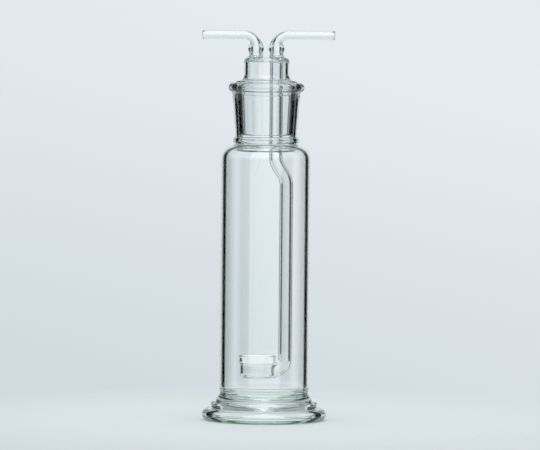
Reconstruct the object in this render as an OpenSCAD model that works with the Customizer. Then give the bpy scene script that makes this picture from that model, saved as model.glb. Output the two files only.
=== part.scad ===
// Gas washing bottle: a footed cylinder with a ground socket, and a lift-out
// head with inlet and outlet arms, a dip tube and a sintered filter disc.
// Millimetres. The bottle stands on z = 0 with its axis on the Z axis; the
// inlet arm points along +X and the outlet arm along -X.

/* [Ground joint] */
// Diameter of the ground taper at its wide end
joint_d = 45; // [43:0.5:47]
// Length of the ground taper in the socket
joint_len = 40; // [34:0.5:42]
// Taper of the ground faces, one in this many on the diameter
joint_taper = 10; // [9:0.5:14]
// Gap left between the two ground faces
joint_gap = 0.08; // [0.06:0.01:0.15]

/* [Bottle] */
// Height of the socket's rim above the table
rim_h = 249; // [225:1:290]
// Outside diameter of the cylinder
body_d = 66; // [60:0.5:72]
// Wall of the cylinder
body_wall = 3.2; // [2.2:0.1:4.5]
// Height of the rounded shoulder
shoulder_h = 11.5; // [8:0.5:18]
// Fillet inside the cylinder where it meets the foot
floor_fillet = 4; // [2:0.5:6]

/* [Socket] */
// Height of the socket, from the weld on the shoulder to the rim
socket_h = 45.2; // [44:0.2:52]
// Wall of the socket above the weld ring
socket_wall = 1.9; // [1.5:0.1:3]
// Wall of the socket under the rim bead
socket_top_wall = 3; // [2.2:0.1:4]
// Diameter over the bead round the rim
bead_d = 56; // [54:0.5:62]
// Height of the bead round the rim
bead_h = 7.3; // [5:0.1:9]
// Diameter over the weld ring at the bottom of the socket
ring_d = 48.8; // [47.5:0.1:51]
// Height of the weld ring
ring_h = 5.2; // [4:0.1:6.5]

/* [Foot] */
// Diameter of the foot's flange
foot_d = 91.5; // [88:0.5:104]
// Height of the flange's round edge
flange_h = 8.6; // [7:0.2:10]
// Height of the foot, up to the inside floor of the bottle
foot_h = 21; // [19:0.5:28]
// How far the edge of the foot's upper tier stands in from the flange's edge
tier_inset = 6.65; // [5.5:0.05:8]
// Height of the tier's widest place above the flange
tier_rise = 3; // [2:0.2:4.2]
// Round of the tier's edge
tier_round = 4.5; // [4.3:0.1:5.5]
// Thickness of the closed top of the foot
floor_t = 3.6; // [2.5:0.1:5]
// Width of the ring that the foot stands on
rest_w = 2.4; // [1.6:0.1:4]

/* [Head] */
// Wall of the hollow ground cone
cone_wall = 3.9; // [2.5:0.1:5]
// How far the cone stops short of the end of the ground taper
cone_short = 1.3; // [0.5:0.1:3]
// Diameter of the head above the socket
dome_d = 33.2; // [32.4:0.2:36]
// Height of the head above the rim
dome_h = 18.5; // [16:0.5:20]
// Wall of the head above the socket
dome_wall = 2.3; // [1.8:0.1:3]
// Round of the head's top edge
dome_round = 2.8; // [2:0.1:3.4]
// Radius of the flare between the head and the ground cone
flare_r = 4.6; // [3:0.2:5]

/* [Arms] */
// Outside diameter of the arms
arm_d = 6.8; // [6:0.2:8]
// Bore of the arms
arm_bore = 4.4; // [3.6:0.2:5]
// Height of the arms' centre line above the rim
arm_h = 35; // [33:0.5:45]
// Centre line radius of the bends into the arms
arm_bend_r = 8; // [7:0.5:9]
// Reach of the inlet arm from the bottle's axis
inlet_reach = 50; // [40:0.5:65]
// Reach of the outlet arm from the bottle's axis
outlet_reach = 47.4; // [40:0.5:65]
// Diameter over the swell where each leg stands on the head
swell_d = 11.6; // [11:0.1:12]
// Distance of the inlet leg from the bottle's axis
inlet_x = 7.2; // [6.4:0.1:7.8]
// Distance of the outlet leg from the bottle's axis
outlet_x = 8; // [6.8:0.1:8.4]
// Fillet of the welds between the head and the legs
weld_r = 1.6; // [0.8:0.1:1.8]

/* [Dip tube] */
// Outside diameter of the dip tube and the legs
tube_d = 10; // [8:0.25:10.5]
// Bore of the dip tube and the legs
tube_bore = 6; // [4.5:0.25:7]
// How far below the rim the dip tube turns outwards
jog_drop = 54.5; // [50:0.5:90]
// Slope of the jog, measured from upright
jog_angle = 33; // [27:1:40]
// Centre line radius of the jog's two bends
jog_bend_r = 15; // [10:0.5:18]
// Clearance of the dip tube in the narrow end of the ground taper
lift_gap = 0.3; // [0.2:0.1:1.2]
// Angle that the lower bend turns through, into the cup
entry_angle = 68; // [62:1:76]
// Centre line radius of the lower bend
entry_bend_r = 8; // [7.5:0.25:9]
// Height of the tube's end in the cup above the cup's underside
entry_h = 4.3; // [4:0.1:5]

/* [Filter] */
// Clearance of the filter cup in the narrow end of the ground taper
cup_neck_gap = 1.9; // [1:0.1:3]
// Gap between the cup's rim and the dip tube
cup_gap = 1.6; // [1:0.1:2.2]
// Wall of the filter cup
cup_wall = 1.8; // [1.4:0.1:2.2]
// Height of the filter cup
cup_h = 16.6; // [15.8:0.1:20]
// Gap under the cup, above the floor of the bottle
cup_lift = 10; // [5:0.5:20]
// Round of the cup's lower edge
cup_round = 3.2; // [2.4:0.1:3.6]
// Thickness of the sintered disc
disc_t = 5; // [4:0.1:5.6]
// How far the sintered disc lies below the cup's rim
disc_sink = 0.3; // [0.1:0.1:0.8]
// Width of the ledge that the sintered disc seats on
ledge_w = 0.6; // [0.4:0.1:1]

/* [Hidden] */
$fn = 96;

// Bottle
body_r = body_d / 2;
body_in_r = body_r - body_wall;
weld_z = rim_h - socket_h;
shoulder_z = weld_z - shoulder_h;

// Ground joint
taper_slope = 1 / (2 * joint_taper);
taper_z = rim_h - joint_len;
joint_r = joint_d / 2;
narrow_r = joint_r - joint_len * taper_slope;
neck_in_r = narrow_r + joint_gap;
neck_out_r = neck_in_r + socket_wall;
rim_bevel = 0.6;

// Head
cone_z = taper_z + cone_short;
lip_h = 1;
dome_r = dome_d / 2;
dome_in_r = dome_r - dome_wall;
dome_z = rim_h + dome_h;
ceiling_z = dome_z - dome_wall;

// Tubes
tube_r = tube_d / 2;
bore_r = tube_bore / 2;
arm_r = arm_d / 2;
arm_bore_r = arm_bore / 2;
arm_wall = arm_r - arm_bore_r;

// Collars that make one solid of a sloped length and its neighbours: how far
// they stand into and out of the wall, and their height
hair = 0.02;
collar_h = 0.4;

// Arms and dip tube
arm_z = rim_h + arm_h;
leg_top_z = arm_z - arm_bend_r;
dip_x = narrow_r - lift_gap - tube_r;
jog_step = jog_bend_r * (1 - cos(jog_angle));
jog_rise = jog_bend_r * sin(jog_angle);
jog_run = (dip_x - inlet_x - 2 * jog_step) / sin(jog_angle);
jog_top_z = rim_h - jog_drop;
jog_low_z = hundredth(jog_top_z - 2 * jog_rise - jog_run * cos(jog_angle));

// Filter
cup_right_x = dip_x - tube_r - cup_gap;
cup_left_x = cup_neck_gap - narrow_r;
cup_x = (cup_left_x + cup_right_x) / 2;
cup_r = (cup_right_x - cup_left_x) / 2;
cup_z = foot_h + cup_lift;
cup_top_z = cup_z + cup_h;
disc_r = cup_r - cup_wall;
disc_z = cup_top_z - disc_sink - disc_t;
chamber_r = disc_r - ledge_w;
entry_reach = 1.2;
entry_x = cup_x + chamber_r - entry_reach;
entry_step = entry_bend_r * (1 - cos(entry_angle));
entry_len = (dip_x - entry_step - entry_x) / sin(entry_angle);
entry_z = hundredth(cup_z + entry_h + entry_bend_r * sin(entry_angle) + entry_len * cos(entry_angle));

clear_glass = [0.80, 0.88, 0.88, 0.45];
frosted_glass = [0.93, 0.96, 0.96];

// A height rounded to a hundredth, so that lengths of tube meet on one plane.
function hundredth(v) = round(100 * v) / 100;

// Points along part of an ellipse in the profile plane.
function curve(r, z, a, b, from, to, steps = 12) =
    [for (i = [0 : steps]) let (t = from + (to - from) * i / steps)
        [r + a * cos(t), z + b * sin(t)]];

// Points along a smooth step from one radius to another.
function ease(r0, r1, z0, z1, steps = 12) =
    [for (i = [0 : steps]) let (t = i / steps)
        [r1 + (r0 - r1) * (1 + cos(180 * t)) / 2, z0 + (z1 - z0) * t]];

// Radius of the cone's ground face at a height.
function taper_r(z) = joint_r - (rim_h - z) * taper_slope;

// Cross-section of the glass tube, or of the solid rod that just fills its outline.
module section(hollow = true, grow = 0) {
    difference() {
        circle(tube_r + grow);
        if (hollow)
            circle(bore_r - grow);
    }
}

// A straight length between two heights.
module straight(from, to, hollow = true) {
    translate([0, 0, from])
        linear_extrude(to - from)
            section(hollow);
}

// A straight length of the arm whose far end is fire-polished round.
module polished_tube(length) {
    rotate_extrude() {
        translate([arm_bore_r, 0])
            square([arm_wall, length - arm_wall / 2]);
        translate([arm_bore_r + arm_wall / 2, length - arm_wall / 2])
            circle(arm_wall / 2);
    }
}

// A bend that leaves the origin downwards and turns towards +X.
module bend(radius, angle, hollow = true) {
    translate([radius, 0, 0])
        rotate([90, 0, 0])
            rotate_extrude(start = 180, angle = angle)
                translate([radius, 0])
                    section(hollow);
}

// A length that leaves the origin downwards, sloped towards +X. The hair-thin
// collars over its ends make one solid of it and its neighbours.
module sloped(length, angle, ends, hollow = true) {
    rotate([0, 180 - angle, 0]) {
        straight(0, length, hollow);
        for (z = ends)
            translate([0, 0, z - collar_h / 2])
                linear_extrude(collar_h)
                    section(hollow, hair);
    }
}

// Concave fillet of glass round a leg, standing on the head's flat top.
module weld_fillet() {
    sink = 0.5;
    rotate_extrude()
        translate([tube_r, -sink])
            difference() {
                square([weld_r, sink + 0.9 * weld_r]);
                translate([weld_r, sink + 0.9 * weld_r])
                    circle(weld_r);
            }
}

// Leg that swells above the head's top at the origin, then draws in to the arm.
module leg() {
    swell_r = swell_d / 2;
    height = leg_top_z - dome_z;
    swell_low = 0.18 * height;
    swell_z = 0.47 * height;
    swell_top = 0.58 * height;
    rotate_extrude()
        polygon(concat(
            [[bore_r, 0], [tube_r, 0]],
            ease(tube_r, swell_r, swell_low, swell_z, 6),
            ease(swell_r, arm_r, swell_top, height, 10),
            ease(arm_bore_r, bore_r, height, swell_low, 8)));
}

// Leg and arm that stand at the origin and turn to +X.
module arm(reach) {
    height = leg_top_z - dome_z;
    leg();
    translate([arm_bend_r, 0, height])
        rotate([90, 0, 0])
            rotate_extrude(start = 90, angle = 90)
                translate([arm_bend_r, 0])
                    difference() {
                        circle(arm_r);
                        circle(arm_bore_r);
                    }
    translate([arm_bend_r, 0, height + arm_bend_r])
        rotate([0, 90, 0])
            polished_tube(reach - arm_bend_r);
}

module foot() {
    edge_r = flange_h / 2;
    edge_x = foot_d / 2 - edge_r;
    tier_x = foot_d / 2 - tier_inset - tier_round;
    tier_z = flange_h + tier_rise;
    waist_r = body_r - 0.4;
    run = tier_x - waist_r;
    rise = foot_h - tier_z;
    waist_fillet = (run * run + rise * rise - tier_round * tier_round) / (2 * (tier_round + run));
    meet = atan2(rise, waist_fillet - run);
    notch = -asin(tier_rise / tier_round);
    hollow_r = edge_x - rest_w;
    hollow_z = foot_h - floor_t;
    hollow_flat_r = 0.5 * hollow_r;
    color(clear_glass)
        rotate_extrude()
            difference() {
                union() {
                    square([edge_x, flange_h]);
                    translate([edge_x, edge_r])
                        circle(edge_r);
                    polygon(concat(
                        [[0, edge_r], [tier_x, edge_r]],
                        curve(tier_x, tier_z, tier_round, tier_round, notch, meet),
                        curve(waist_r + waist_fillet, foot_h, waist_fillet, waist_fillet, 180 + meet, 180),
                        [[0, foot_h]]));
                }
                polygon(concat(
                    [[0, -1], [hollow_r, -1]],
                    curve(hollow_flat_r, 0, hollow_r - hollow_flat_r, hollow_z, 0, 90, 16),
                    [[0, hollow_z]]));
            }
}

module bottle_body() {
    fillet_z = foot_h + floor_fillet;
    shoulder_w = body_r - neck_out_r;
    neck_round = neck_out_r - neck_in_r;
    color(clear_glass)
        rotate_extrude()
            polygon(concat(
                [[body_r - 0.4, foot_h], [body_r, foot_h + 2]],
                curve(neck_out_r, shoulder_z, shoulder_w, shoulder_h, 0, 90, 16),
                [[neck_in_r, weld_z]],
                curve(neck_out_r, weld_z - body_wall + neck_round, neck_round, neck_round, 180, 270, 6),
                curve(neck_out_r, shoulder_z, shoulder_w - body_wall, shoulder_h - body_wall, 90, 0, 16),
                curve(body_in_r - floor_fillet, fillet_z, floor_fillet, floor_fillet, 0, -90, 8)));
}

module ground_socket() {
    bead_r = bead_h / 2;
    ring_r = ring_h / 2;
    bead_low_z = rim_h - bead_h;
    ring_top_z = weld_z + ring_h;
    color(clear_glass)
        rotate_extrude()
            difference() {
                union() {
                    polygon([
                        [neck_in_r - 1, weld_z], [neck_out_r, weld_z], [neck_out_r, ring_top_z],
                        [taper_r(bead_low_z) + joint_gap + socket_top_wall, bead_low_z],
                        [bead_d / 2 - bead_r, rim_h], [neck_in_r - 1, rim_h]]);
                    translate([ring_d / 2 - ring_r, weld_z + ring_r])
                        circle(ring_r);
                    translate([bead_d / 2 - bead_r, rim_h - bead_r])
                        circle(bead_r);
                }
                polygon([
                    [0, weld_z - 1], [neck_in_r, weld_z - 1], [neck_in_r, taper_z],
                    [taper_r(rim_h - rim_bevel) + joint_gap, rim_h - rim_bevel],
                    [joint_r + joint_gap + rim_bevel, rim_h],
                    [joint_r + joint_gap + rim_bevel, rim_h + 1], [0, rim_h + 1]]);
            }
}

module ground_cone() {
    tip_round = 1.4;
    tip_r = taper_r(cone_z);
    tip_in_r = tip_r - cone_wall;
    lip_z = rim_h + lip_h;
    wide_z = rim_h - 2.5;
    wide_in_r = taper_r(wide_z) - cone_wall;
    inner_round = 2;
    color(clear_glass)
        difference() {
            union() {
                rotate_extrude()
                    polygon(concat(
                        curve(tip_in_r + tip_round, cone_z + tip_round, tip_round, tip_round, 180, 270, 6),
                        curve(tip_r - tip_round, cone_z + tip_round, tip_round, tip_round, 270, 360, 6),
                        [[joint_r, rim_h], [joint_r, lip_z]],
                        curve(dome_r + flare_r, lip_z + flare_r, flare_r, flare_r, 270, 180),
                        curve(dome_r - dome_round, dome_z - dome_round, dome_round, dome_round, 0, 90, 8),
                        [[0, dome_z], [0, ceiling_z]],
                        curve(dome_in_r - inner_round, ceiling_z - inner_round, inner_round, inner_round, 90, 0, 8),
                        ease(dome_in_r, wide_in_r, lip_z + flare_r, wide_z)));
                for (x = [inlet_x, -outlet_x])
                    translate([x, 0, dome_z])
                        weld_fillet();
            }
            translate([inlet_x, 0, ceiling_z - 4])
                cylinder(h = 12, r = tube_r);
            translate([-outlet_x, 0, ceiling_z - 4])
                cylinder(h = 12, r = bore_r);
        }
}

module outlet_arm() {
    color(clear_glass)
        translate([-outlet_x, 0, dome_z])
            mirror([1, 0, 0])
                arm(outlet_reach - outlet_x);
}

// Lower bend of the dip tube and its entry into the cup.
module entry(hollow) {
    translate([dip_x, 0, entry_z])
        mirror([1, 0, 0]) {
            bend(entry_bend_r, entry_angle, hollow);
            translate([entry_step, 0, -entry_bend_r * sin(entry_angle)])
                sloped(entry_len, entry_angle, [0], hollow);
        }
}

// Space under the sintered disc.
module chamber() {
    chamber_round = 1.6;
    floor_z = cup_z + cup_wall;
    translate([cup_x, 0, 0])
        rotate_extrude()
            polygon(concat(
                [[0, disc_z], [0, floor_z]],
                curve(chamber_r - chamber_round, floor_z + chamber_round, chamber_round, chamber_round, 270, 360, 6),
                [[chamber_r, disc_z]]));
}

module inlet_tube() {
    color(clear_glass) {
        translate([inlet_x, 0, dome_z])
            arm(inlet_reach - inlet_x);
        translate([inlet_x, 0, jog_top_z]) {
            straight(0, dome_z - jog_top_z);
            bend(jog_bend_r, jog_angle);
            translate([jog_step, 0, -jog_rise])
                sloped(jog_run, jog_angle, [0, jog_run]);
        }
        translate([dip_x, 0, jog_low_z])
            rotate([0, 180, 0])
                bend(jog_bend_r, jog_angle);
        translate([dip_x, 0, entry_z])
            straight(0, jog_low_z - entry_z);
        difference() {
            entry(hollow = true);
            chamber();
            translate([cup_x - cup_r, -cup_r, cup_z - 10])
                cube([3 * cup_r, 2 * cup_r, 10]);
        }
    }
}

module filter_cup() {
    low_r = cup_r - ledge_w;
    step_h = 2;
    color(clear_glass)
        difference() {
            translate([cup_x, 0, 0])
                rotate_extrude()
                    union() {
                        polygon(concat(
                            [[0, cup_z]],
                            curve(low_r - cup_round, cup_z + cup_round, cup_round, cup_round, 270, 360, 8),
                            ease(low_r, cup_r, disc_z - step_h, disc_z, 6),
                            curve(cup_r - cup_wall / 2, cup_top_z - cup_wall / 2, cup_wall / 2, cup_wall / 2, 0, 180, 8),
                            [[disc_r, disc_z], [0, disc_z]]));
                    }
            chamber();
            entry(hollow = false);
        }
}

module sintered_disc() {
    color(frosted_glass)
        translate([cup_x, 0, disc_z])
            cylinder(h = disc_t, r = disc_r);
}

foot();
bottle_body();
ground_socket();
ground_cone();
outlet_arm();
inlet_tube();
filter_cup();
sintered_disc();
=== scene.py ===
from math import cos, hypot, pi, radians, sin

import bmesh
import bpy
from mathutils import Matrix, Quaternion, Vector


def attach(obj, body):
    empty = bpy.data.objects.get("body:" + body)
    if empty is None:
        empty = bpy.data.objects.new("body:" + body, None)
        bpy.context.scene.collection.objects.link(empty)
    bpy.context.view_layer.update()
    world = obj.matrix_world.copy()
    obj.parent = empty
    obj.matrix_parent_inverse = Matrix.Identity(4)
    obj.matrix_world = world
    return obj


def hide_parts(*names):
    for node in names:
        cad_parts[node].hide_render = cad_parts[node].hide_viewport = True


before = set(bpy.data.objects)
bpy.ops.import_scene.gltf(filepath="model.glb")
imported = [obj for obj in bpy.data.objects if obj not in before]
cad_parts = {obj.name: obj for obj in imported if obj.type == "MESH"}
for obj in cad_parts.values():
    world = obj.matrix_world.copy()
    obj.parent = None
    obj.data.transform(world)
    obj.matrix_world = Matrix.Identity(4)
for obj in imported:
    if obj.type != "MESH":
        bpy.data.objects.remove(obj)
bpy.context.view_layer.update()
mm = 0.001


# The bottle. A pressed foot, a drawn cylinder and a standard ground socket of
# borosilicate glass are melted together by the glass blower and fire polished,
# so that one skin of clear glass runs from the foot to the rim.
class Shade:
    """A value, colour or shader among the nodes of a material or world, so that
    patterns are written as sums."""

    def __init__(self, tree, socket=None):
        self.tree = tree
        self.socket = socket

    def node(self, kind, settings=None, sockets=None, out=0):
        """Adds a node, its settings first and then its sockets, and gives one output."""
        made = self.tree.nodes.new("ShaderNode" + kind)
        for name, value in (settings or {}).items():
            if name == "stops":
                ramp = made.color_ramp.elements
                while len(ramp) < len(value):
                    ramp.new(0.5)
                for stop, (place, colour) in zip(ramp, value):
                    stop.position, stop.color = place, colour
            else:
                setattr(made, name, value)
        for name, value in (sockets or {}).items():
            if isinstance(value, Shade):
                self.tree.links.new(value.socket, made.inputs[name])
            else:
                made.inputs[name].default_value = value
        return Shade(self.tree, made.outputs[out] if made.outputs else None)

    def math(self, operation, *others):
        """The result of a Math node that takes this value first."""
        return self.node("Math", {"operation": operation}, dict(enumerate((self, *others))))

    def __add__(self, other):
        return self.math("ADD", other)

    __radd__ = __add__

    def __sub__(self, other):
        return self.math("SUBTRACT", other)

    def __rsub__(self, other):
        return self.node("Math", {"operation": "SUBTRACT"}, {0: other, 1: self})

    def __mul__(self, other):
        return self.math("MULTIPLY", other)

    def __neg__(self):
        return self * -1.0

    def __abs__(self):
        return self.math("ABSOLUTE")

    def rise(self, low, high):
        """0 below low and 1 above high, with a smooth rise between them."""
        return self.node(
            "MapRange",
            {"interpolation_type": "SMOOTHSTEP"},
            {"Value": self, "From Min": low, "From Max": high},
        )

    def fall(self, low, high):
        """1 below low and 0 above high, with a smooth fall between them."""
        return 1 - self.rise(low, high)

    def parts(self):
        """The x, y and z of a vector."""
        split = self.node("SeparateXYZ", None, {"Vector": self}).socket.node
        return [Shade(self.tree, s) for s in split.outputs]

    def mix(self, kind, share, first, second):
        """Goes from the first colour or shader to the second as the share rises."""
        return self.node(kind, None, {"Fac": share, 1: first, 2: second})


def new_sheet(owner):
    """Empties the nodes of a material or world, to start afresh."""
    owner.use_nodes = True
    owner.node_tree.nodes.clear()
    return Shade(owner.node_tree)


def arc(r, z, across, up, start, end, steps):
    """Points along part of an ellipse in an outline, with angles in degrees."""
    turns = [radians(start + (end - start) * i / steps) for i in range(steps + 1)]
    return [(r + across * cos(t), z + up * sin(t)) for t in turns]


def corner(a, tip, b, steps):
    """Points of a soft corner from a to b that leans towards its tip."""
    share = [i / steps for i in range(steps + 1)]
    return [
        tuple((1 - t) ** 2 * p + 2 * t * (1 - t) * q + t * t * s for p, q, s in zip(a, tip, b))
        for t in share
    ]


def run(a, b, longest):
    """Points from a to b that are about as far apart as the longest step."""
    steps = max(1, round(hypot(b[0] - a[0], b[1] - a[1]) / longest))
    return [
        (a[0] + (b[0] - a[0]) * i / steps, a[1] + (b[1] - a[1]) * i / steps)
        for i in range(steps + 1)
    ]


def close_skin(apart=0.004):
    """Merges points of the mesh in edit mode that are less than so many mm apart,
    and turns its faces outwards."""
    bpy.ops.mesh.select_all(action="SELECT")
    bpy.ops.mesh.remove_doubles(threshold=apart * mm)
    bpy.ops.mesh.normals_make_consistent(inside=False)
    bpy.ops.object.mode_set(mode="OBJECT")


def lathe(name, outline, centre=0.0, turns=144):
    """Spins an outline of radius and height, in mm, round an upright axis."""
    bpy.ops.object.select_all(action="DESELECT")
    bpy.ops.mesh.primitive_plane_add(size=mm)
    made = bpy.context.object
    made.name = name
    bpy.ops.object.mode_set(mode="EDIT")
    bpy.ops.mesh.select_mode(type="VERT")
    bpy.ops.mesh.merge(type="CENTER")
    bpy.ops.transform.translate(
        value=((centre + outline[0][0]) * mm, 0, outline[0][1] * mm)
    )
    for (r0, z0), (r1, z1) in zip(outline, outline[1:]):
        bpy.ops.mesh.extrude_region_move(
            TRANSFORM_OT_translate={"value": ((r1 - r0) * mm, 0, (z1 - z0) * mm)}
        )
    bpy.ops.mesh.select_all(action="SELECT")
    bpy.ops.mesh.spin(
        steps=turns, angle=2 * pi, center=(centre * mm, 0, 0), axis=(0, 0, 1)
    )
    close_skin()
    return made


def settle(piece, body, slot, material, *nodes):
    """Smooths a piece, gives it its glass and hides the nodes that it stands for."""
    sharp_edge = radians(38)
    bpy.ops.object.select_all(action="DESELECT")
    piece.select_set(True)
    bpy.context.view_layer.objects.active = piece
    bpy.ops.object.shade_smooth_by_angle(angle=sharp_edge)
    piece.data.materials.clear()
    piece.data.materials.append(material)
    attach(piece, body)
    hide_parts(*nodes)


glass_bends_light = 1.47


def clear_glass():
    """Clear borosilicate glass with the faint streaks of drawn tube and a hint of
    green where it is thick, with painted shade: a dark line along outer walls
    seen at a slant, and dark green on the flange's lower edge where it rests."""
    clear, painted_edge_shade = (0.995, 0.998, 0.998, 1), (0.16, 0.19, 0.18, 1)
    thick_green_contact_shade, deep_green = (0.16, 0.28, 0.18, 1), (0.45, 0.86, 0.6, 1)
    made = bpy.data.materials.new("clear_glass")
    sheet = new_sheet(made)
    place = sheet.node("TexCoord", out="Object")
    drawn = sheet.node("Mapping", None, {"Vector": place, "Scale": (90.0, 90.0, 9.0)})
    streaks = sheet.node("TexNoise", None, {"Vector": drawn, "Scale": 1.0, "Detail": 1.0})
    skin = sheet.node(
        "Bump", None, {"Height": streaks, "Strength": 0.12, "Distance": 0.00004}
    )

    # Painted shade: a dark line, in place of the dark surroundings that the edges
    # of thick glass refract, runs where an outer wall is seen at a slant, and is
    # wider on the ground joint. The inner walls, the arms and the filter cup have none.
    slant = sheet.node("LayerWeight", None, {"Blend": 0.5}, out=1)
    x, y, z = place.parts()
    off_axis = (x * x + y * y).math("SQRT")
    cylinder_bore, cone_bore, dome_bore = 0.0298, 0.0176, 0.0143
    in_cone, in_dome = z.rise(0.196, 0.206), z.rise(0.246, 0.256)
    inner_wall = cylinder_bore - in_cone * (cylinder_bore - cone_bore)
    inner_wall = inner_wall - in_dome * (cone_bore - dome_bore)
    outer = abs(off_axis - inner_wall).rise(0.0009, 0.0013)
    below_arms = z.fall(0.272, 0.280)
    cup = z.fall(0.052, 0.058) * off_axis.fall(0.0215, 0.0245)
    joint = z.rise(0.205, 0.210) * z.fall(0.244, 0.249)
    edge_shade_starts = (slant + joint * 0.08).rise(0.49, 0.54)
    edge_shade_ends = (slant - joint * 0.04).fall(0.60, 0.66)
    painted_edge_mask = edge_shade_starts * edge_shade_ends * outer * below_arms * (1 - cup)
    colour = sheet.mix("MixRGB", painted_edge_mask, clear, painted_edge_shade)
    # The flange's lower edge, where it rests on the table, is painted dark green: partly the
    # green of thick glass, partly painted contact shade.
    contact_shade_mask = off_axis.rise(0.036, 0.040) * z.fall(0.0008, 0.0032)
    colour = sheet.mix("MixRGB", contact_shade_mask, colour, thick_green_contact_shade)

    glass = sheet.node(
        "BsdfPrincipled",
        None,
        {
            "Base Color": colour,
            "Normal": skin,
            "Roughness": 0.0,
            "IOR": glass_bends_light,
            "Transmission Weight": 1.0,
        },
    )
    depth = sheet.node("VolumeAbsorption", None, {"Color": deep_green, "Density": 6.0})
    sheet.node("OutputMaterial", None, {"Surface": glass, "Volume": depth})
    return made


# The bottle's outline in mm of radius and height, from the middle of the foot's
# hollow underside out to the flange, up to the rim and down inside to the floor.
floor_z, shoulder_z, rim_z = 21.0, 192.3, 249.0
cylinder_r, inside_r, neck_r, taper_end_r = 33.0, 29.8, 22.48, 20.58
hollow_h, hollow_half_r, flange_round, tier_round = 17.4, 19.525, 4.3, 4.5
hollow = run((0, hollow_h), (19.5, hollow_h), 4)
hollow += arc(hollow_half_r, 0, hollow_half_r, hollow_h, 88, 2, 28)
flange = corner((39.05, 0.5), (39.1, 0), (39.8, 0), 4)
flange += arc(41.45, flange_round, flange_round, flange_round, -90, 84, 24)
notch = corner((41.0, 8.6), (38.3, 8.6), (38.4, 9.2), 6)
tier = arc(34.6, 11.6, tier_round, tier_round, -30, 69.3, 16)
tier += arc(38.147, floor_z, 5.547, 5.547, 247, 180, 12)
cylinder = run((cylinder_r, 23.4), (cylinder_r, shoulder_z), 8)
shoulder = arc(neck_r, shoulder_z, cylinder_r - neck_r, 11.5, 3, 88, 26)
collar = arc(21.8, 206.4, 2.6, 2.6, -70, 74, 14)
socket = run((22.55, 209.4), (25.15, 241.2), 6)
bead = arc(24.35, 245.35, 3.65, 3.65, -72, 88, 22)
mouth = corner((23.6, rim_z), (22.75, 248.9), (22.56, 248.3), 5)
ground = run((22.54, 248.0), (taper_end_r, 209.0), 6)
ground += run((taper_end_r, 208.0), (taper_end_r, 203.0), 3)
neck_end = arc(neck_r, 202.5, 1.9, 1.9, 182, 264, 8)
inside = arc(neck_r, shoulder_z, inside_r - neck_r, 8.3, 88, 2, 22)
inside += run((inside_r, 192.0), (inside_r, 25.6), 8)
floor = arc(25.8, 25.0, 4.0, 4.0, -2, -90, 12)
floor += run((25.4, floor_z), (0, floor_z), 4)
bottle = lathe(
    "bottle_glass",
    hollow + flange + notch + tier + cylinder + shoulder + collar + socket + bead
    + mouth + ground + neck_end + inside + floor,
)
glass_look = clear_glass()
settle(bottle, "bottle", "clear_glass", glass_look, "foot", "bottle_body", "ground_socket")


# The head. A hollow ground cone closed by a flat-topped dome, with an outlet
# arm and a dip tube sealed through its top; the tube ends in a filter cup. All
# are drawn or blown tube, joined in the flame with a small swell of glass.
def open_end():
    """Centre and radius of the open end of the rod in hand, in metres."""
    mesh = bmesh.from_edit_mesh(bpy.context.object.data)
    ends = [v.co for v in mesh.verts if v.select]
    middle = sum(ends, Vector()) / len(ends)
    return middle, (ends[0] - middle).length


def start_rod(name, x, z, radius):
    """Starts a rod with an upright closed end that is to be drawn out along X."""
    bpy.ops.object.select_all(action="DESELECT")
    bpy.ops.mesh.primitive_circle_add(
        vertices=64, radius=radius * mm, rotation=(0, pi / 2, 0), location=(x * mm, 0, z * mm)
    )
    made = bpy.context.object
    made.name = name
    bpy.ops.object.transform_apply(location=True, rotation=True, scale=True)
    bpy.ops.object.mode_set(mode="EDIT")
    bpy.ops.mesh.select_all(action="SELECT")
    bpy.ops.mesh.edge_face_add()
    bpy.ops.mesh.select_mode(type="EDGE")
    return made


def swell(radius):
    """Blows or draws the open end to a radius in mm."""
    middle, now = open_end()
    bpy.ops.transform.resize(value=(radius * mm / now,) * 3, center_override=middle)


def draw(dx, dz, radius=None):
    """Draws the open end on, straight, to another radius if one is given."""
    longest = 3.0
    parts = max(1, round(hypot(dx, dz) / longest))
    part = (dx / parts * mm, 0, dz / parts * mm)
    for _ in range(parts):
        bpy.ops.mesh.extrude_edges_move(TRANSFORM_OT_translate={"value": part})
    if radius:
        swell(radius)


bend_step = 4.5


def bend(x, z, angle):
    """Bends the rod on round a centre; an angle over 0 turns left, seen from the front."""
    bpy.ops.mesh.spin(
        steps=round(abs(angle) / bend_step),
        angle=radians(angle),
        center=(x * mm, 0, z * mm),
        axis=(0, 1, 0),
    )


def shut_rod():
    """Closes the open end, which finishes the rod."""
    bpy.ops.mesh.edge_face_add()
    close_skin()


def flame(piece, other, way):
    """Melts another solid into a piece, or cuts it out, and uses it up."""
    bpy.ops.object.select_all(action="DESELECT")
    bpy.context.view_layer.objects.active = piece
    change = piece.modifiers.new(way, "BOOLEAN")
    change.operation, change.object, change.solver = way, other, "EXACT"
    bpy.ops.object.modifier_apply(modifier=change.name)
    bpy.data.objects.remove(other)


def ease(a, b, steps):
    """Points from a to b that leave and arrive upright, as softened glass sets."""
    return [
        (a[0] + (b[0] - a[0]) * (1 - cos(pi * i / steps)) / 2, a[1] + (b[1] - a[1]) * i / steps)
        for i in range(steps + 1)
    ]


# Sizes of the arms, and of the legs and the top that they stand on, in mm.
arm_z, leg_z, swell_z, waist_z, top_z, ceiling_z = 284.0, 276.0, 273.45, 270.05, 267.5, 265.2
arm_r, swell_r, waist_r = 3.4, 5.8, 4.9
arm_bore_r, swell_bore_r, bore_r = 2.2, 2.75, 3.0
inlet_x, inlet_reach = 7.2, 50.0
outlet_x, outlet_reach = -8.0, -47.4


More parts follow.
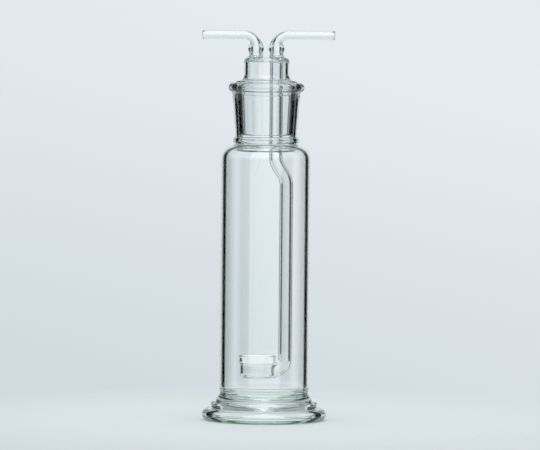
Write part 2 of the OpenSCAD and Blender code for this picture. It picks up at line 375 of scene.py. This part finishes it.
def arm_rod(name, leg_x, reach, bore):
    """Starts an arm or its bore at the polished tip, and ends it in its leg at
    the head's top. The tip is given in depths and radii."""
    side = 1 if reach > 0 else -1
    if bore:
        arm, swollen, waist = arm_bore_r, swell_bore_r, bore_r
        tip = [(-1.0, 2.62), (0.06, 2.6), (0.11, 2.42), (0.27, 2.28), (0.56, arm)]
    else:
        arm, swollen, waist = arm_r, swell_r, waist_r
        tip = [(0.0, 3.0), (0.07, 3.14), (0.18, 3.26), (0.36, 3.36), (0.56, arm)]
    rod = start_rod(name, reach - side * tip[0][0], arm_z, tip[0][1])
    for (x0, _), (x1, radius) in zip(tip, tip[1:]):
        draw(side * (x0 - x1), 0, radius)
    bend_x = leg_x + side * (arm_z - leg_z)
    draw(bend_x - reach + side * tip[-1][0], 0)

    # It swells through the second half of the bend and the top of the leg.
    bent, straight = 10, 4
    bend(bend_x, leg_z, side * (90 - bent * bend_step))
    radii = [radius for radius, _ in ease((arm, 0), (swollen, 1), bent + straight)]
    for radius in radii[1 : bent + 1]:
        bend(bend_x, leg_z, side * bend_step)
        swell(radius)
    leg = [
        (radius, leg_z + (swell_z - leg_z) * i / straight)
        for i, radius in enumerate(radii[bent:])
    ]
    leg += ease((swollen, swell_z), (waist, waist_z), 12)[1:] + [(waist, top_z)]
    for (_, z0), (radius, z1) in zip(leg, leg[1:]):
        draw(0, z1 - z0, radius)
    return rod


# The head's outline, from the middle of the ceiling inside down to the end of the
# cone, up the ground face and over the lip and the dome to the middle of the top.
cone_bore_r, dome_bore_r, dome_r, flare_r = 18.475, 14.3, 16.6, 4.6
ceiling = run((0, ceiling_z), (12.2, ceiling_z), 2) + arc(12.3, 263.2, 2.0, 2.0, 88, 0, 8)
dome_inside = run((dome_bore_r, 262.0), (dome_bore_r, 255.2), 3)
step_out = ease((dome_bore_r, 254.6), (cone_bore_r, 246.5), 12)
cone_inside = run((18.455, 246.1), (16.665, 212.0), 6)
cone_end = arc(18.065, 211.7, 1.4, 1.4, 180, 270, 8)
cone_end += arc(19.165, 211.7, 1.4, 1.4, 280, 357, 8)
cone = run((taper_end_r, 212.0), (22.48, 248.6), 6)
lip = corner((22.5, 249.2), (22.5, 250.0), (21.8, 250.03), 5)
flare = arc(dome_r + flare_r, 254.6, flare_r, flare_r, 268, 180, 16)
dome = run((dome_r, 255.0), (dome_r, 264.5), 3)
dome_top = arc(13.8, 264.7, 2.8, 2.8, 0, 88, 12) + run((13.6, top_z), (0, top_z), 2)
head = lathe(
    "head_glass",
    ceiling + dome_inside + step_out + cone_inside + cone_end + cone + lip + flare
    + dome + dome_top,
)

# The swells of glass where a leg or the dip tube is sealed through the top.
weld_round, seal_round, weld_turns = 1.8, 1.3, 96
for leg_x in (outlet_x, inlet_x):
    weld = lathe(
        "weld",
        [(0, 266.4), (6.7, 266.4)]
        + arc(6.8, top_z + weld_round, weld_round, weld_round, 270, 180, 8)
        + [(4.9, top_z + 2.4), (0, top_z + 2.4)],
        leg_x,
        weld_turns,
    )
    flame(head, weld, "UNION")
seal = lathe(
    "seal",
    [(0, 266.0), (6.2, 266.0)]
    + arc(6.3, ceiling_z - seal_round, seal_round, seal_round, 90, 180, 8)
    + [(4.9, ceiling_z - 2), (0, ceiling_z - 2)],
    inlet_x,
    weld_turns,
)
flame(head, seal, "UNION")
outlet = arm_rod("outlet_arm_glass", outlet_x, outlet_reach, False)
draw(0, -1.5)
shut_rod()
flame(head, outlet, "UNION")

# The dip tube steps out below the neck and bends into the side of the cup.
dip_x, cup_x = 15.2, -5.0
jog_angle, jog_bend_r, jog_len = 33, 15.0, 5.8
entry_angle, entry_bend_r, entry_len = 68, 8.0, 5.6
jog_top_z, jog_low_z, entry_z = 194.5, 173.29, 44.82


def dip_rod(name, bore):
    """The inlet arm, its leg and the dip tube, or their bore, down into the cup."""
    rod = arm_rod(name, inlet_x, inlet_reach, bore)
    jog, entry = radians(jog_angle), radians(entry_angle)
    draw(0, jog_top_z - top_z)
    bend(inlet_x + jog_bend_r, jog_top_z, jog_angle)
    draw(jog_len * sin(jog), -jog_len * cos(jog))
    bend(dip_x - jog_bend_r, jog_low_z, -jog_angle)
    draw(0, entry_z - jog_low_z)
    bend(dip_x - entry_bend_r, entry_z, -entry_angle)
    draw(-entry_len * sin(entry), -entry_len * cos(entry))
    shut_rod()
    return rod


# The cup's outline, from the middle of its bottom up the side, out over a ledge
# to the band round the disc, over the rim and in across the shelf of the disc.
cup_low_z, cup_r, band_r, shelf_z = 31.0, 13.0, 13.6, 42.3
cup_bottom = [(0, cup_low_z)] + run((3, cup_low_z), (9.8, cup_low_z), 2)
cup_bottom += arc(9.8, 34.2, 3.2, 3.2, 272, 360, 12)
cup_side = run((cup_r, 34.6), (cup_r, 40.2), 1) + ease((cup_r, 40.3), (band_r, shelf_z), 6)
band = run((band_r, 42.8), (band_r, 46.6), 1) + arc(12.7, 46.7, 0.9, 0.9, 4, 176, 14)
shelf = run((11.76, 46.4), (11.76, 42.4), 1) + run((11.7, shelf_z), (0, shelf_z), 2)
cup = lathe("cup", cup_bottom + cup_side + band + shelf, cup_x)
flame(head, dip_rod("dip_tube_glass", False), "UNION")
flame(head, cup, "UNION")
chamber_side = arc(9.6, 34.4, 1.6, 1.6, 272, 360, 8) + run((11.2, 34.8), (11.2, 43.0), 1)
chamber = lathe("chamber", run((0, 32.8), (9.5, 32.8), 2) + chamber_side + [(0, 43.0)], cup_x)
flame(head, chamber, "DIFFERENCE")
flame(head, dip_rod("dip_bore", True), "DIFFERENCE")
outlet_bore = arm_rod("outlet_bore", outlet_x, outlet_reach, True)
draw(0, -5)
shut_rod()
flame(head, outlet_bore, "DIFFERENCE")

# The last slivers of the joins are taken out, so that the skin stays closed.
bpy.ops.object.mode_set(mode="EDIT")
bpy.ops.mesh.select_mode(type="VERT")
bpy.ops.mesh.select_all(action="SELECT")
bpy.ops.mesh.dissolve_degenerate(threshold=0.01 * mm)
close_skin(0.012)
settle(
    head, "head", "clear_glass", glass_look,
    "ground_cone", "outlet_arm", "inlet_tube", "filter_cup",
)


# The filter disc. Crushed glass is sintered into a white porous disc, and its
# edge is melted to the wall of the cup, a little below the rim.
def sintered_glass():
    """White sintered glass, with fine grains in soft clumps."""
    shaded, lightest = (0.955, 0.975, 0.975, 1), (0.99, 0.995, 0.995, 1)
    made = bpy.data.materials.new("sintered_glass")
    sheet = new_sheet(made)
    place = sheet.node("TexCoord", out="Object")
    grains = sheet.node("TexVoronoi", None, {"Vector": place, "Scale": 2600.0})
    clumps = sheet.node("TexNoise", None, {"Vector": place, "Scale": 700.0, "Detail": 3.0})
    colour = sheet.node(
        "ValToRGB", {"stops": [(0.3, shaded), (0.7, lightest)]}, {"Fac": clumps}
    )
    rough = sheet.node(
        "Bump", None, {"Height": grains * 0.6 + clumps, "Strength": 0.5, "Distance": 0.00005}
    )
    frit = sheet.node(
        "BsdfPrincipled",
        None,
        {
            "Base Color": colour,
            "Roughness": clumps * 0.3 + 0.6,
            "IOR": glass_bends_light,
            "Normal": rough,
        },
    )
    sheet.node("OutputMaterial", None, {"Surface": frit})
    return made


# The disc lies a hair above the cup's shelf, and its top is a little crowned.
disc_r, disc_low_z = 11.7, 42.34
disc_low = run((0, disc_low_z), (11.4, disc_low_z), 1)
disc_low += corner((11.5, disc_low_z), (disc_r, disc_low_z), (disc_r, 42.6), 3)
disc_side = run((disc_r, 43.0), (disc_r, 46.9), 1)
disc_side += corner((disc_r, 47.1), (disc_r, 47.28), (11.4, 47.26), 3)
disc_top = run((11.0, 47.24), (0, 47.3), 1)
disc = lathe("sintered_disc_grain", disc_low + disc_side + disc_top, cup_x)
settle(disc, "head", "sintered_glass", sintered_glass(), "sintered_disc")


# The table. It is a matt pale sheet, which fades into the backdrop away from
# the bottle so that no edge shows behind it. Through glass it shows its own
# pale colour, with a painted contact shadow, a dark ring, under the edge of the flange.
def linear(r, g, b):
    """A screen colour of 0 to 255 as the lamp-light colour that shows it."""
    return tuple(
        (c / 255 / 12.92 if c < 11 else ((c / 255 + 0.055) / 1.055) ** 2.4) for c in (r, g, b)
    ) + (1,)


bpy.ops.object.select_all(action="DESELECT")
bpy.ops.mesh.primitive_circle_add(vertices=96, radius=1.4, fill_type="NGON")
table = bpy.context.object
table.name = "table"
paper = bpy.data.materials.new("table_paper")
sheet = new_sheet(paper)
x, y = sheet.node("TexCoord", out="Object").parts()[:2]
off_axis = (x * x + y * y).math("SQRT")
far = off_axis.rise(0.10, 0.34)
# A painted contact shadow: a dark ring round the flange's edge, seen only through glass.
painted_contact_shadow = off_axis.rise(0.040, 0.043) * off_axis.fall(0.049, 0.056)
matt = sheet.node("BsdfDiffuse", None, {"Color": linear(220, 229, 231)})
pale = {"Color": linear(222, 231, 233), "Strength": 1 - painted_contact_shadow * 0.93}
lit = sheet.node("Emission", None, pale)
through = sheet.node("LightPath", out="Is Transmission Ray")
paper_seen = sheet.mix("MixShader", through * 0.85, matt, lit)
nothing = sheet.node("BsdfTransparent")
faded = sheet.mix("MixShader", far, paper_seen, nothing)
sheet.node("OutputMaterial", None, {"Surface": faded})
table.data.materials.append(paper)


# The studio: an even white tent. The camera sees a pale backdrop; glass also
# sees the dark gaps between the tent's panels, which draw its edges.
world = bpy.data.worlds.new("studio")
bpy.context.scene.world = world

# The panels are for glass alone, so the table must not sample them as lamps.
world.cycles.sampling_method = "NONE"
sheet = new_sheet(world)
x, y, z = sheet.node("TexCoord", out="Generated").parts()
backdrop_low, backdrop_left = linear(209, 219, 223), linear(218, 226, 232)
backdrop_right = linear(229, 235, 241)
backdrop = sheet.node(
    "ValToRGB",
    {"stops": [(0.0, backdrop_low), (0.45, backdrop_left), (1.0, backdrop_right)]},
    {"Fac": z.rise(-0.10, 0.03) + x * 2.5 + 0.05},
)

# Panels stand in front, behind and at both sides, as angles round the bottle.
# The front and back ones narrow or brighten higher up, and a row of smaller
# ones shows from below the table's level.
turn = x.math("ARCTAN2", y)
front_turn = x.math("ARCTAN2", -y)
narrow = z.rise(0.15, 0.5) * radians(12)
wide_turn = abs(turn.math("WRAP", pi / 2, -pi / 2)) + narrow
wide_panels = wide_turn.fall(radians(24), radians(26))
side_panels = abs(abs(turn) - pi / 2).fall(radians(11), radians(14))
front_panel = abs(front_turn).fall(radians(42), radians(43.5))
low_row = abs(turn.math("WRAP", pi / 8, -pi / 8)).fall(radians(17), radians(19))
tent_top = z.rise(0.2, 0.4) * 0.45
upper = wide_panels.math("MAXIMUM", side_panels)
upper = upper.math("MAXIMUM", front_panel).math("MAXIMUM", tent_top)
under = z.fall(-0.16, -0.11)
light_behind = under * (low_row * 0.5 + 0.5) + (1 - under) * upper
light_front = light_behind + front_panel * (1.5 + z.rise(0.05, 0.3) * 3.2)
behind = sheet.node("Background", None, {"Color": backdrop, "Strength": light_behind})
tent = sheet.node("Background", None, {"Color": backdrop, "Strength": light_front})
plain = sheet.node("Background", None, {"Color": backdrop, "Strength": 1.0})
even = sheet.node("Background", None, {"Color": (1, 1, 1, 1), "Strength": 1.0})
seen = sheet.node("LightPath", out="Is Camera Ray")
through = sheet.node("LightPath", out="Is Transmission Ray")
scattered = sheet.node("LightPath", out="Diffuse Depth").math("GREATER_THAN", 0.5)
glass_sees = sheet.mix("MixShader", through, tent, behind)
lit = sheet.mix("MixShader", scattered, glass_sees, even)
all_see = sheet.mix("MixShader", seen, lit, plain)
sheet.node("OutputWorld", None, {"Surface": all_see})


# The camera, with a long lens at the height of the bottle's shoulder, and the
# light paths that clear glass inside clear glass needs.
bpy.ops.object.camera_add()
camera = bpy.context.object
camera.data.sensor_width = 36
camera.data.lens = 266.7
pitch, roll, away = radians(2.08), radians(0.49), 2.95
aim = Vector((0.0034, 0, 0.144))
camera.location = aim + Vector((0, -cos(pitch), sin(pitch))) * away
camera.rotation_mode = "QUATERNION"
look = (aim - camera.location).to_track_quat("-Z", "Y")
camera.rotation_quaternion = look @ Quaternion((0, 0, 1), roll)
camera.data.clip_start, camera.data.clip_end = 0.1, 50
scene = bpy.context.scene
scene.camera = camera
scene.view_settings.view_transform = "Standard"

# Clear glass stays sharp for light that the disc has scattered, or it turns grey.
scene.cycles.blur_glossy = 0.0
scene.cycles.max_bounces = 32
scene.cycles.transmission_bounces = 32
scene.cycles.glossy_bounces = 16
scene.cycles.transparent_max_bounces = 16
